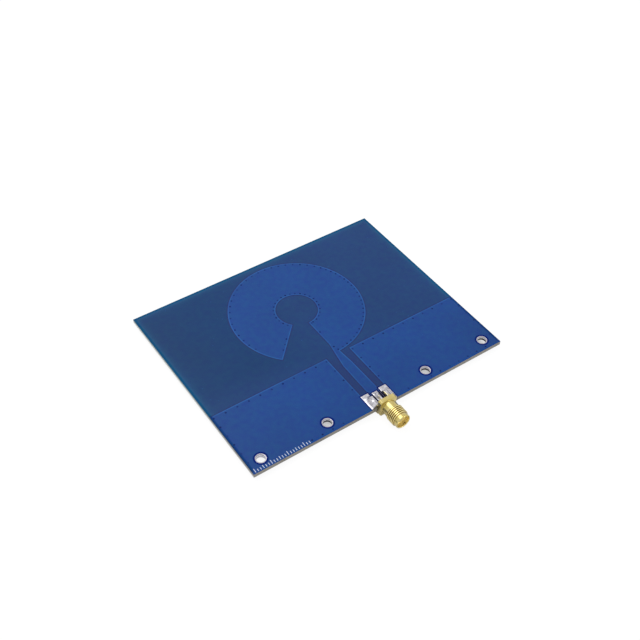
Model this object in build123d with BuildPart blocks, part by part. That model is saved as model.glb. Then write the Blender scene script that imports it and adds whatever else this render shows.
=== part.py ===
from build123d import *
import os
from math import cos, radians, sin, sqrt

# A printed circuit board antenna with an edge-mounted coaxial jack, in millimetres.
# X runs along the connector edge, Y to the back, Z up. The origin is midway between
# the two outer mounting holes, on the board's bottom face.

# Board; its depth follows from the copper laid out along it
board_width = 100.0
board_thickness = 1.6
board_rear_margin = 2.95
copper_thickness = 0.035
mask_thickness = 0.025
mask_side_coat = 0.06
mask_clearance = 0.05
copper_setback = 0.3

# Plated mounting holes
hole_inset = 4.0
outer_hole_side_inset = 5.0
inner_hole_spacing = 40.0
hole_diameter = 3.0
plating_wall = 0.05
hole_pad_diameter = 4.0

# Ground plane and the slot that the feed line runs in
ground_depth = 26.3
slot_width = 9.5

# Ring radiator with one sector left out, its angles in degrees
radiator_ground_gap = 0.65
radiator_outer_radius = 24.25
radiator_inner_radius = 7.5
radiator_gap_start = 225.0
radiator_gap_end = 270.0

# Feed line, from the pad under the connector's pin to the ring; the band picks its bends
feed_front_width = 4.1
feed_rear_width = 3.7
feed_shoulder_inset = 7.3
feed_taper_length = 6.45
feed_knee_radius = 12.0
feed_shoulder_radius = 1.0
feed_ring_left = 0.75
feed_ring_right = 1.35
feed_merge_length = 4.0
pick_band = 0.01

# Solder pads
signal_pad_width = 1.95
signal_pad_end = 5.9
ground_pad_inner = 2.2
ground_pad_outer = 5.0
ground_pad_end = 6.6

# Vias, four-sided because they repeat so often; runs on an arc go by angles in degrees
via_diameter = 0.4
via_sides = 4
radiator_rim_via_inset = 0.75
radiator_hub_via_offset = 0.7
radiator_cut_via_offset = 0.7
rim_via_angles = ((-87, 34), (40, 86), (93, 200))
rim_via_counts = (25, 8, 16)
hub_via_angles = (-80, 214)
hub_via_count = 24
cut_via_radii = (14.6, 17.2, 19.8)
feed_side_via_radii = (8.2, 13.4, 21.6)
ground_back_via_inset = 1.05
ground_end_via_inset = 0.6
ground_slot_via_inset = 0.65
ground_front_via_inset = 0.65
ground_front_via_start = 16.0
right_lone_via_x = 10.4
ground_front_via_end_inset = 5.7
ground_slot_via_start = 10.6
ground_end_via_start = 4.6
ground_back_via_count = 11
ground_slot_via_count = 4
ground_end_via_count = 6
ground_front_via_count = 8

# Coaxial jack
flange_width = 6.35
flange_thickness = 1.65
flange_corner_chamfer = 0.55
leg_width = 1.0
leg_height = 1.0
leg_length = 4.1
leg_tip_chamfer = 0.2
neck_diameter = 5.4
neck_length = 2.75
thread_diameter = 6.2
thread_length = 3.6
thread_end_chamfer = 0.25
nose_diameter = 5.5
nose_length = 1.5
nose_chamfer = 0.2
jack_bore_diameter = 4.6
jack_bore_depth = 1.9
insulator_diameter = 4.1
contact_diameter = 1.27
contact_recess = 0.1
contact_shoulder = 1.0
socket_bore_diameter = 0.94
socket_bore_depth = 2.6
socket_slot_width = 0.2
socket_slot_depth = 2.2
pin_diameter = 0.76
pin_length = 4.6

# Solder; the hollow is how far a fillet's arc has come at its middle, as a share
solder_film = 0.05
ground_fillet_height = 0.75
ground_fillet_ledge = 0.2
ground_fillet_run = 1.1
blob_cover = 0.25
blob_ledge = 0.5
blob_run = 1.7
signal_fillet_start = 1.1
signal_fillet_height = 0.62
signal_fillet_ledge = 0.08
signal_fillet_run = 0.8
solder_side_margin = 0.1
solder_toe = 0.03
solder_hollow = 0.3

# Levels and edges that follow from the sizes above
front_y = -hole_inset
board_depth = ground_depth + radiator_ground_gap + 2 * radiator_outer_radius + board_rear_margin
rear_y = front_y + board_depth
laminate_bottom = mask_thickness + copper_thickness
laminate_top = board_thickness - laminate_bottom
laminate_thickness = laminate_top - laminate_bottom
foil_top = laminate_top + copper_thickness
hole_radius = hole_diameter / 2
drill_radius = hole_radius + plating_wall
copper_front_y = front_y + copper_setback
ground_back_y = front_y + ground_depth
ground_outer_x = board_width / 2 - copper_setback
slot_half = slot_width / 2
ring_bottom_y = ground_back_y + radiator_ground_gap
radiator_y = ring_bottom_y + radiator_outer_radius
outer_hole_x = board_width / 2 - outer_hole_side_inset
inner_hole_x = inner_hole_spacing / 2
leg_gap_top = foil_top + solder_film
axis_z = leg_gap_top + pin_diameter / 2
leg_inner_x = flange_width / 2 - leg_width

hole_places = {
    "outer_left": -outer_hole_x,
    "inner_left": -inner_hole_x,
    "inner_right": inner_hole_x,
    "outer_right": outer_hole_x,
}

laminate_base = Plane.XY.offset(laminate_bottom)
laminate_roof = Plane.XY.offset(laminate_top)
board_middle = Plane.XY.offset(board_thickness / 2)


def ring_point(radius, angle):
    return (radius * cos(radians(angle)), radiator_y + radius * sin(radians(angle)))


def evenly(start, end, count):
    step = (end - start) / (count - 1)
    return [start + step * index for index in range(count)]


def rectangle_between(x_start, x_end, y_start, y_end):
    with Locations(((x_start + x_end) / 2, (y_start + y_end) / 2)):
        Rectangle(x_end - x_start, y_end - y_start)


def open_holes(radius):
    for place_x in hole_places.values():
        with Locations((place_x, 0)):
            Circle(radius, mode=Mode.SUBTRACT)


# Outlines shared by the copper, the mask over it and the laminate under it

with BuildSketch() as board_outline:
    with Locations((0, (front_y + rear_y) / 2)):
        Rectangle(board_width, board_depth)

with BuildSketch() as ring_outline:
    with Locations((0, radiator_y)):
        Circle(radiator_outer_radius)
        Circle(radiator_inner_radius, mode=Mode.SUBTRACT)
    with BuildLine():
        reach = 2 * radiator_outer_radius
        middle = (radiator_gap_start + radiator_gap_end) / 2
        Polyline(
            (0, radiator_y),
            ring_point(reach, radiator_gap_start),
            ring_point(reach, middle),
            ring_point(reach, radiator_gap_end),
            close=True,
        )
    make_face(mode=Mode.SUBTRACT)

with BuildSketch() as feed_outline:
    with BuildLine():
        pad_y = front_y + signal_pad_end
        shoulder_y = front_y + feed_shoulder_inset
        knee_y = ring_bottom_y - feed_taper_length
        Polyline(
            (-signal_pad_width / 2, copper_front_y),
            (signal_pad_width / 2, copper_front_y),
            (signal_pad_width / 2, pad_y),
            (feed_front_width / 2, shoulder_y),
            (feed_rear_width / 2, knee_y),
            (feed_ring_right, ring_bottom_y),
            (feed_ring_right, ring_bottom_y + feed_merge_length),
            (0, ring_bottom_y + feed_merge_length),
            (-feed_ring_left, ring_bottom_y),
            (-feed_rear_width / 2, knee_y),
            (-feed_front_width / 2, shoulder_y),
            (-signal_pad_width / 2, pad_y),
            close=True,
        )
    make_face()
    for level, radius in ((knee_y, feed_knee_radius), (shoulder_y, feed_shoulder_radius)):
        bends = feed_outline.vertices().filter_by_position(Axis.Y, level - pick_band, level + pick_band)
        fillet(bends, radius)

with BuildSketch() as radiator_outline:
    add(ring_outline.sketch)
    add(feed_outline.sketch)

# Each pad is given by its left side, right side and rear end
signal_pad = (-signal_pad_width / 2, signal_pad_width / 2, front_y + signal_pad_end)
right_pad = (ground_pad_inner, ground_pad_outer, front_y + ground_pad_end)
left_pad = (-ground_pad_outer, -ground_pad_inner, front_y + ground_pad_end)

with BuildSketch() as signal_pad_outline:
    rectangle_between(signal_pad[0], signal_pad[1], copper_front_y, signal_pad[2])

with BuildSketch() as right_pad_outline:
    rectangle_between(right_pad[0], right_pad[1], copper_front_y, right_pad[2])

with BuildSketch() as right_ground_outline:
    rectangle_between(slot_half, ground_outer_x, copper_front_y, ground_back_y)
    add(right_pad_outline.sketch)
    open_holes(drill_radius)

with BuildSketch() as left_ground_outline:
    add(mirror(right_ground_outline.sketch, about=Plane.YZ, mode=Mode.PRIVATE))

with BuildSketch() as underside_ground_outline:
    rectangle_between(-ground_outer_x, ground_outer_x, copper_front_y, ground_back_y)
    open_holes(drill_radius)

# Places of the vias that stitch the two copper faces together

rim_radius = radiator_outer_radius - radiator_rim_via_inset
hub_radius = radiator_inner_radius + radiator_hub_via_offset
radiator_via_places = [ring_point(hub_radius, angle) for angle in evenly(*hub_via_angles, hub_via_count)]
for ends, count in zip(rim_via_angles, rim_via_counts):
    radiator_via_places += [ring_point(rim_radius, angle) for angle in evenly(*ends, count)]
for radius in cut_via_radii:
    along_x, along_y = ring_point(radius, radiator_gap_start)
    across = radiator_cut_via_offset / sqrt(2)
    radiator_via_places.append((along_x - across, along_y + across))
radiator_via_places += [(radiator_cut_via_offset, radiator_y - radius) for radius in feed_side_via_radii]

via_back_y = ground_back_y - ground_back_via_inset
via_inner_x = slot_half + ground_slot_via_inset
via_outer_x = ground_outer_x - ground_end_via_inset
via_front_y = copper_front_y + ground_front_via_inset
back_row_x = evenly(via_inner_x, via_outer_x, ground_back_via_count)
slot_row_y = evenly(front_y + ground_slot_via_start, via_back_y, ground_slot_via_count)[:-1]
end_row_y = evenly(front_y + ground_end_via_start, via_back_y, ground_end_via_count)[:-1]
front_row_end = ground_outer_x - ground_front_via_end_inset
front_row_x = evenly(ground_front_via_start, front_row_end, ground_front_via_count)
right_via_places = [(x, via_back_y) for x in back_row_x]
right_via_places += [(via_inner_x, y) for y in slot_row_y]
right_via_places += [(via_outer_x, y) for y in end_row_y]
right_via_places += [(x, via_front_y) for x in front_row_x]
left_via_places = [(-x, y) for x, y in right_via_places]
right_via_places.append((right_lone_via_x, via_front_y))


def add_vias(places):
    with Locations(*places):
        RegularPolygon(via_diameter / 2, via_sides)


# The glass-fibre laminate, drilled for the mounting holes and the vias

with BuildPart() as laminate:
    with BuildSketch(laminate_base):
        add(board_outline.sketch)
        open_holes(drill_radius)
        with Locations(*radiator_via_places, *left_via_places, *right_via_places):
            RegularPolygon(via_diameter / 2, via_sides, mode=Mode.SUBTRACT)
    extrude(amount=laminate_thickness)

# Copper: the top carries the feed line, the underside a ring and one whole ground plane

with BuildPart() as radiator_foil:
    with BuildSketch(laminate_roof):
        add(radiator_outline.sketch)
    extrude(amount=copper_thickness)

with BuildPart() as left_ground_foil:
    with BuildSketch(laminate_roof):
        add(left_ground_outline.sketch)
    extrude(amount=copper_thickness)

with BuildPart() as right_ground_foil:
    with BuildSketch(laminate_roof):
        add(right_ground_outline.sketch)
    extrude(amount=copper_thickness)

with BuildPart() as underside_radiator_foil:
    with BuildSketch(laminate_base):
        add(ring_outline.sketch)
    extrude(amount=-copper_thickness)

with BuildPart() as underside_ground_foil:
    with BuildSketch(laminate_base):
        add(underside_ground_outline.sketch)
    extrude(amount=-copper_thickness)

with BuildPart() as radiator_vias:
    with BuildSketch(laminate_base):
        add_vias(radiator_via_places)
    extrude(amount=laminate_thickness)

with BuildPart() as left_ground_vias:
    with BuildSketch(laminate_base):
        add_vias(left_via_places)
    extrude(amount=laminate_thickness)

with BuildPart() as right_ground_vias:
    with BuildSketch(laminate_base):
        add_vias(right_via_places)
    extrude(amount=laminate_thickness)


# Solder mask: a film on the laminate that rises over the copper and coats its edges


def mask_film(base, direction, copper_outlines, pads):
    rise = direction * (copper_thickness + mask_thickness)
    with BuildPart() as film:
        with BuildSketch(base):
            add(board_outline.sketch)
            open_holes(hole_pad_diameter / 2)
        extrude(amount=direction * mask_thickness)
        for outline in copper_outlines:
            with BuildSketch(base):
                add(outline.sketch)
                offset(amount=mask_side_coat, kind=Kind.INTERSECTION)
                open_holes(hole_pad_diameter / 2)
            extrude(amount=rise)
        for outline in copper_outlines:
            with BuildSketch(base):
                add(outline.sketch)
            extrude(amount=direction * copper_thickness, mode=Mode.SUBTRACT)
        for left, right, end in pads:
            window = (left - mask_clearance, right + mask_clearance, front_y, end + mask_clearance)
            with BuildSketch(base):
                rectangle_between(*window)
            extrude(amount=rise, mode=Mode.SUBTRACT)
    return film.part


top_copper = [radiator_outline, left_ground_outline, right_ground_outline]
top_solder_mask = mask_film(laminate_roof, 1, top_copper, [left_pad, signal_pad, right_pad])
underside_copper = [ring_outline, underside_ground_outline]
underside_solder_mask = mask_film(laminate_base, -1, underside_copper, [left_pad, right_pad])

# Plating of each mounting hole: a sleeve through the laminate and both foils

platings = {}
for place, place_x in hole_places.items():
    with BuildPart() as plating:
        with BuildSketch(Plane.XY.offset(mask_thickness)):
            with Locations((place_x, 0)):
                Circle(drill_radius)
                Circle(hole_radius, mode=Mode.SUBTRACT)
        extrude(amount=foil_top - mask_thickness)
    platings[place] = plating.part

# Jack body: square flange, four legs astride the board, neck, thread land and nose

jack_axis = Axis((0, 0, axis_z), (0, 1, 0))
neck_end_y = front_y - flange_thickness - neck_length
thread_end_y = neck_end_y - thread_length
nose_end_y = thread_end_y - nose_length
insulator_front_y = nose_end_y + jack_bore_depth


# Each leg is square in section, with the tip eased on the side away from the board
with BuildPart() as legs:
    for face, near in ((1, leg_gap_top), (-1, board_thickness - leg_gap_top)):
        far = near + face * leg_height
        for side in (-1, 1):
            with BuildSketch(Plane.YZ.offset(side * leg_inner_x)):
                with BuildLine():
                    Polyline(
                        (front_y, near),
                        (front_y + leg_length, near),
                        (front_y + leg_length, far - face * leg_tip_chamfer),
                        (front_y + leg_length - leg_tip_chamfer, far),
                        (front_y, far),
                        close=True,
                    )
                make_face()
            extrude(amount=side * leg_width)

with BuildPart() as connector_body:
    with BuildSketch(Plane.XZ.offset(-front_y)) as flange_sketch:
        with Locations((0, axis_z)):
            Rectangle(flange_width, flange_width)
        chamfer(flange_sketch.vertices(), flange_corner_chamfer)
    extrude(amount=flange_thickness)
    add(legs.part)
    with BuildSketch(Plane.YZ):
        with BuildLine():
            Polyline(
                (front_y - flange_thickness, axis_z),
                (front_y - flange_thickness, axis_z + neck_diameter / 2),
                (neck_end_y, axis_z + neck_diameter / 2),
                (neck_end_y, axis_z + thread_diameter / 2 - thread_end_chamfer),
                (neck_end_y - thread_end_chamfer, axis_z + thread_diameter / 2),
                (thread_end_y + thread_end_chamfer, axis_z + thread_diameter / 2),
                (thread_end_y, axis_z + thread_diameter / 2 - thread_end_chamfer),
                (thread_end_y, axis_z + nose_diameter / 2),
                (nose_end_y + nose_chamfer, axis_z + nose_diameter / 2),
                (nose_end_y, axis_z + nose_diameter / 2 - nose_chamfer),
                (nose_end_y, axis_z),
                close=True,
            )
        make_face()
    revolve(axis=jack_axis)
    with BuildSketch(Plane.XZ.offset(-front_y)):
        with Locations((0, axis_z)):
            Circle(insulator_diameter / 2)
    extrude(amount=front_y - nose_end_y, mode=Mode.SUBTRACT)
    with BuildSketch(Plane.XZ.offset(-insulator_front_y)):
        with Locations((0, axis_z)):
            Circle(jack_bore_diameter / 2)
    extrude(amount=jack_bore_depth, mode=Mode.SUBTRACT)

# Contact: a slotted socket in front and a thinner pin that lies over the signal pad

contact_front_y = insulator_front_y + contact_recess
shoulder_y = front_y - contact_shoulder
pin_end_y = front_y + pin_length

with BuildPart() as centre_contact:
    with BuildSketch(Plane.YZ):
        with BuildLine():
            Polyline(
                (contact_front_y, axis_z + socket_bore_diameter / 2),
                (contact_front_y, axis_z + contact_diameter / 2),
                (shoulder_y, axis_z + contact_diameter / 2),
                (shoulder_y, axis_z + pin_diameter / 2),
                (pin_end_y, axis_z + pin_diameter / 2),
                (pin_end_y, axis_z),
                (contact_front_y + socket_bore_depth, axis_z),
                (contact_front_y + socket_bore_depth, axis_z + socket_bore_diameter / 2),
                close=True,
            )
        make_face()
    revolve(axis=jack_axis)
    with BuildSketch(Plane.XZ.offset(-contact_front_y - socket_slot_depth)):
        with Locations((0, axis_z)):
            Rectangle(contact_diameter, socket_slot_width)
            Rectangle(socket_slot_width, contact_diameter)
    extrude(amount=socket_slot_depth, mode=Mode.SUBTRACT)

# Insulator: fills the body behind the bore and holds the contact by its shoulder

with BuildPart() as connector_insulator:
    with BuildSketch(Plane.YZ):
        with BuildLine():
            Polyline(
                (insulator_front_y, axis_z + contact_diameter / 2),
                (insulator_front_y, axis_z + insulator_diameter / 2),
                (front_y, axis_z + insulator_diameter / 2),
                (front_y, axis_z + pin_diameter / 2),
                (shoulder_y, axis_z + pin_diameter / 2),
                (shoulder_y, axis_z + contact_diameter / 2),
                close=True,
            )
        make_face()
    revolve(axis=jack_axis)

# Solder joints: a film over each pad that climbs the leg or pin in a hollow fillet


def fillet_section(y, inner, outer, ledge, height):
    # One section across a leg's joint: upright on the slot side, hollow on the other
    low = foil_top + solder_film
    with BuildSketch(Plane.XZ.offset(-y)) as section:
        with BuildLine():
            Line((inner, low - solder_film), (outer, low - solder_film))
            Line((outer, low - solder_film), (outer, low))
            ThreePointArc(
                (outer, low),
                (ledge + solder_hollow * (outer - ledge), low + solder_hollow * height),
                (ledge, low + height),
            )
            Line((ledge, low + height), (inner, low + height))
            Line((inner, low + height), (inner, low - solder_film))
        make_face()
    return section.sketch


def ground_joint(height, ledge, run):
    outer = ground_pad_outer - solder_side_margin
    ledge_x = flange_width / 2 + ledge
    tip_y = front_y + leg_length
    with BuildPart() as joint:
        with BuildSketch(Plane.XY.offset(foil_top)):
            add(right_pad_outline.sketch)
        extrude(amount=solder_film)
        loft(
            [
                fillet_section(copper_front_y, ground_pad_inner, outer, ledge_x, height),
                fillet_section(tip_y, ground_pad_inner, outer, ledge_x, height),
                fillet_section(tip_y + run, ground_pad_inner, outer - ledge, ledge_x, solder_toe),
            ],
            ruled=True,
        )
        add(legs.part, mode=Mode.SUBTRACT)
    return joint.part


right_top_solder = ground_joint(ground_fillet_height, ground_fillet_ledge, ground_fillet_run)
left_top_solder = mirror(ground_joint(leg_height + blob_cover, blob_ledge, blob_run), about=Plane.YZ)
right_underside_solder = mirror(right_top_solder, about=board_middle)
board_mid_axis = Axis((0, 0, board_thickness / 2), (0, 1, 0))
left_underside_solder = right_top_solder.rotate(board_mid_axis, 180)


def signal_section(y, height):
    low = foil_top + solder_film
    outer = signal_pad_width / 2 - solder_side_margin
    ledge = pin_diameter / 2 + signal_fillet_ledge
    middle = ledge + solder_hollow * (outer - ledge)
    waist = low + solder_hollow * height
    with BuildSketch(Plane.XZ.offset(-y)) as section:
        with BuildLine():
            Line((-outer, low - solder_film), (outer, low - solder_film))
            Line((outer, low - solder_film), (outer, low))
            ThreePointArc((outer, low), (middle, waist), (ledge, low + height))
            Line((ledge, low + height), (-ledge, low + height))
            ThreePointArc((-ledge, low + height), (-middle, waist), (-outer, low))
            Line((-outer, low), (-outer, low - solder_film))
        make_face()
    return section.sketch


with BuildPart() as signal_solder:
    with BuildSketch(Plane.XY.offset(foil_top)):
        add(signal_pad_outline.sketch)
    extrude(amount=solder_film)
    loft(
        [
            signal_section(front_y + signal_fillet_start, signal_fillet_height),
            signal_section(pin_end_y, signal_fillet_height),
            signal_section(pin_end_y + signal_fillet_run, solder_toe),
        ],
        ruled=True,
    )
    with BuildSketch(Plane.XZ.offset(-front_y)):
        with Locations((0, axis_z)):
            Circle(pin_diameter / 2)
    extrude(amount=-pin_length, mode=Mode.SUBTRACT)

# One file for each piece

pieces = {
    "laminate": laminate.part,
    "radiator_foil": radiator_foil.part,
    "left_ground_foil": left_ground_foil.part,
    "right_ground_foil": right_ground_foil.part,
    "underside_radiator_foil": underside_radiator_foil.part,
    "underside_ground_foil": underside_ground_foil.part,
    "radiator_vias": radiator_vias.part,
    "left_ground_vias": left_ground_vias.part,
    "right_ground_vias": right_ground_vias.part,
    "top_solder_mask": top_solder_mask,
    "underside_solder_mask": underside_solder_mask,
    "connector_body": connector_body.part,
    "connector_insulator": connector_insulator.part,
    "centre_contact": centre_contact.part,
    "signal_solder": signal_solder.part,
    "left_top_solder": left_top_solder,
    "right_top_solder": right_top_solder,
    "left_underside_solder": left_underside_solder,
    "right_underside_solder": right_underside_solder,
}
for place, plating in platings.items():
    pieces[f"{place}_hole_plating"] = plating

os.makedirs("parts", exist_ok=True)
for name, piece in pieces.items():
    piece.label = name
    export_step(piece, f"parts/{name}.step")
    print(name, round(piece.volume, 3))
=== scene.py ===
import bmesh
import bpy
from math import ceil, cos, hypot, pi, radians
from mathutils import Matrix, Quaternion, Vector, noise


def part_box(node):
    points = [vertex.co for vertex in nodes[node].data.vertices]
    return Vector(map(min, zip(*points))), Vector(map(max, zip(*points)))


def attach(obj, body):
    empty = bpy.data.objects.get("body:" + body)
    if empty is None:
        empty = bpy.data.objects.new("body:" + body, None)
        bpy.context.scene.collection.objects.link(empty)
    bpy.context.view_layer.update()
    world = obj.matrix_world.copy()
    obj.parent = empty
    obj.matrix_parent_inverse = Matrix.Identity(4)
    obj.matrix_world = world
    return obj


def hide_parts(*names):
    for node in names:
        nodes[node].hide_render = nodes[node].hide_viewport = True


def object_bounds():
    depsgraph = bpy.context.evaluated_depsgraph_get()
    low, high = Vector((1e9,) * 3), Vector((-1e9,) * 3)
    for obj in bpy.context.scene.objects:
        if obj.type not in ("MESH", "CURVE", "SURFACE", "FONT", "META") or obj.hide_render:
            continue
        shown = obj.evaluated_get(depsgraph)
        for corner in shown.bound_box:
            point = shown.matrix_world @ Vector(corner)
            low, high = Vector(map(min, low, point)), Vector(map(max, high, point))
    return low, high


# A blue printed circuit board antenna with a gold edge jack.
# Shapes are made in millimetres and brought to metres when they become pieces.

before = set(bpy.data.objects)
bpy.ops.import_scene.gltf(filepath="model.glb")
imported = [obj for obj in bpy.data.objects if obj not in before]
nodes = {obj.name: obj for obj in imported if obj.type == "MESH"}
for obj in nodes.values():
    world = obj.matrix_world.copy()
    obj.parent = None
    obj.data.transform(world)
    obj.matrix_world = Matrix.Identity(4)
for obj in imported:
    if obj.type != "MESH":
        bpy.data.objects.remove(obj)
cadLow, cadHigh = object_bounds()
mm = 0.001
yAxis = Vector((0, 1, 0))
zAxis = Vector((0, 0, 1))
print("frame loaded with", len(nodes), "nodes")


def boxOf(node):
    low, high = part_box(node)
    return low / mm, high / mm


boardLow, boardHigh = boxOf("laminate")
ringLow, ringHigh = boxOf("underside_radiator_foil")
groundLow, groundHigh = boxOf("underside_ground_foil")
foilTop = boxOf("radiator_foil")[1].z
foilUnder = ringLow.z
boardTop = boxOf("top_solder_mask")[1].z
boardUnder = boxOf("underside_solder_mask")[0].z
holeNodes = ("outer_left_hole_plating", "inner_left_hole_plating",
             "inner_right_hole_plating", "outer_right_hole_plating")
holePlaces = [(low + high) / 2 for low, high in map(boxOf, holeNodes)]


# Camera, at the photograph's viewing angle

cameraLook = {
    "place": (-0.1386, -0.1549, 0.2478),
    "aim": (0.004017, 0.038599, 0.001514),
    "roll": 2.13,
    "lens": 55.49,
}


def makeCamera(look):
    data = bpy.data.cameras.new("photoCamera")
    data.lens = look["lens"]
    data.clip_start = 0.01
    data.clip_end = 20
    camera = bpy.data.objects.new("photoCamera", data)
    bpy.context.scene.collection.objects.link(camera)
    camera.location = look["place"]
    towards = Vector(look["aim"]) - camera.location
    camera.rotation_mode = "QUATERNION"
    turn = Quaternion((0, 0, 1), radians(look["roll"]))
    camera.rotation_quaternion = towards.to_track_quat("-Z", "Y") @ turn
    bpy.context.scene.camera = camera


makeCamera(cameraLook)
print("camera placed")


# Node helpers for the materials


def shade(red, green, blue):
    parts = []
    for value in (red, green, blue):
        share = value / 255
        parts.append(share / 12.92 if share <= 0.04045 else ((share + 0.055) / 1.055) ** 2.4)
    return (*parts, 1)


def startMaterial(name):
    material = bpy.data.materials.new(name)
    material.use_nodes = True
    tree = material.node_tree
    return material, tree, tree.nodes["Principled BSDF"]


def feed(tree, socket, value):
    if isinstance(value, bpy.types.NodeSocket):
        tree.links.new(value, socket)
    else:
        socket.default_value = value


def calc(tree, operation, *values):
    node = tree.nodes.new("ShaderNodeMath")
    node.operation = operation
    for socket, value in zip(node.inputs, values):
        feed(tree, socket, value)
    return node.outputs[0]


def minus(tree, first, second):
    return calc(tree, "SUBTRACT", first, second)


def times(tree, first, second):
    return calc(tree, "MULTIPLY", first, second)


def most(tree, *values):
    result = values[0]
    for value in values[1:]:
        result = calc(tree, "MAXIMUM", result, value)
    return result


def least(tree, *values):
    result = values[0]
    for value in values[1:]:
        result = calc(tree, "MINIMUM", result, value)
    return result


def reach(tree, first, second):
    squares = [times(tree, side, side) for side in (first, second)]
    return calc(tree, "SQRT", calc(tree, "ADD", *squares))


def apart(tree, first, second):
    return calc(tree, "ABSOLUTE", minus(tree, first, second))


def coordinates(tree, place):
    split = tree.nodes.new("ShaderNodeSeparateXYZ")
    tree.links.new(place, split.inputs[0])
    return split.outputs[:]


def remap(tree, value, fromLow, fromHigh, toLow=0.0, toHigh=1.0, curve="LINEAR"):
    node = tree.nodes.new("ShaderNodeMapRange")
    node.interpolation_type = curve
    for socket, item in zip(node.inputs, (value, fromLow, fromHigh, toLow, toHigh)):
        feed(tree, socket, item)
    return node.outputs[0]


def blend(tree, factor, first, second):
    node = tree.nodes.new("ShaderNodeMix")
    node.data_type = "RGBA"
    feed(tree, node.inputs[0], factor)
    feed(tree, node.inputs[6], first)
    feed(tree, node.inputs[7], second)
    return node.outputs[2]


def millimetres(tree):
    place = tree.nodes.new("ShaderNodeTexCoord")
    mapping = tree.nodes.new("ShaderNodeMapping")
    mapping.inputs["Scale"].default_value = (1 / mm, 1 / mm, 1 / mm)
    tree.links.new(place.outputs["Object"], mapping.inputs["Vector"])
    return mapping.outputs[0]


def grain(tree, place, scale, detail=2.0, rough=0.5, stretch=None):
    if stretch:
        mapping = tree.nodes.new("ShaderNodeMapping")
        mapping.inputs["Scale"].default_value = stretch
        tree.links.new(place, mapping.inputs["Vector"])
        place = mapping.outputs[0]
    node = tree.nodes.new("ShaderNodeTexNoise")
    tree.links.new(place, node.inputs["Vector"])
    node.inputs["Scale"].default_value = scale
    node.inputs["Detail"].default_value = detail
    node.inputs["Roughness"].default_value = rough
    return node.outputs[0]


noiseSpan = (0.3, 0.7)  # nearly all of a noise texture's values
patchSpan = (0.35, 0.7)


def vary(tree, value, low, high):
    return remap(tree, value, *noiseSpan, low, high)


def mixShaders(tree, factor, first, second):
    mix = tree.nodes.new("ShaderNodeMixShader")
    for socket, output in zip(mix.inputs, (factor, first, second)):
        tree.links.new(output, socket)
    return mix.outputs[0]


def relief(tree, shader, height, strength, distance):
    node = tree.nodes.new("ShaderNodeBump")
    node.inputs["Strength"].default_value = strength
    node.inputs["Distance"].default_value = distance * mm
    feed(tree, node.inputs["Height"], height)
    tree.links.new(node.outputs[0], shader.inputs["Normal"])


# Blue solder mask: its colour follows the copper that lies under it

maskLook = {
    "overCopper": shade(19, 69, 140),
    "overLaminate": shade(19, 60, 114),
    # painted shade: the bare film is darker towards the left
    "bareLeftShade": shade(0, 55, 106),
    "slot": shade(24, 54, 110),
    "inkEdge": shade(38, 104, 178),
    "shadowEdge": shade(26, 42, 100),
    "edgeGlow": shade(20, 84, 128),
    "rimLine": shade(16, 80, 123),
    "coveredRim": shade(12, 60, 124),
    "frontRim": shade(0, 70, 146),
    "padLip": shade(0, 28, 110),
    # painted shade between the pads, and a painted reflection along their gap
    "betweenPadsShade": shade(8, 10, 36),
    "gapSheen": shade(84, 86, 120),
    "lightLine": 0.38,
    "lightStrength": 0.7,
    "lightStart": 0.9,
    "lightFull": 1.3,
    "lightWear": 0.45,
    "wearScale": 0.07,
    "darkLine": 0.42,
    "darkStrength": 0.9,
    "lineFade": 0.75,
    "lipWidth": 0.38,
    "holeLip": 0.4,
    "lipFull": 0.6,
    "lipFade": 1.5,
    "gapInset": 0.6,
    "gapFull": -0.25,
    "gapFade": 0.1,
    "sheenCore": 0.04,
    "sheenHalf": 0.16,
    "sheenFade": 0.4,
    "sheenStrength": 0.9,
    "glowStart": 0.7,
    "glowReach": 0.85,
    "rimWidth": 0.62,
    "rimFade": 0.4,
    "rimStrength": 0.85,
    "frontRimWidth": 0.55,
    "mattFade": 1.0,
    "slotFade": 5.0,
    "leftFade": 10.0,
    # painted shade to the front, the left and the right corner
    "frontShade": 0.92,
    "leftShade": 0.95,
    "cornerShade": 0.87,
    "cornerReach": 28.0,
    "cloudScale": 0.045,
    "mottle": 0.05,
    "fineScale": 2.2,
    "fineMottle": 0.035,
    "hueScale": 0.5,
    "hueDrift": 0.005,
    "speckScale": 1.1,
    "speckStart": 0.82,
    "speckFull": 0.86,
    "speckStrength": 0.2,
    "roughness": (0.33, 0.43),
    "specular": 0.18,
    "lipSpecular": 0.03,
    "swellFull": -0.35,
    "swellEnd": 0.15,
    "fineShare": 0.12,
    "relief": (0.6, 0.03),
}
copperPlan = {
    "ringInner": 7.5,
    "slotHalf": 4.75,
    "padHalf": 0.975,
    "padEnd": 1.9,
    "shoulder": 3.3,
    "frontHalf": 2.05,
    "rearHalf": 1.85,
    "taper": 6.45,
    "ringLeft": 0.75,
    "ringRight": 1.35,
    "merge": 4.0,
    "groundPadInner": 2.2,
    "groundPadOuter": 5.0,
    "groundPadEnd": 2.6,
    "holeWindow": 2.0,
}


def ringReach(tree, x, y):
    plan = copperPlan
    outer = (ringHigh.x - ringLow.x) / 2
    down = minus(tree, y, (ringLow.y + ringHigh.y) / 2)
    radius = reach(tree, x, down)
    diagonal = times(tree, minus(tree, down, x), cos(pi / 4))
    gap = most(tree, x, diagonal)
    return most(
        tree,
        minus(tree, radius, outer),
        minus(tree, plan["ringInner"], radius),
        times(tree, gap, -1.0),
    )


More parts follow.
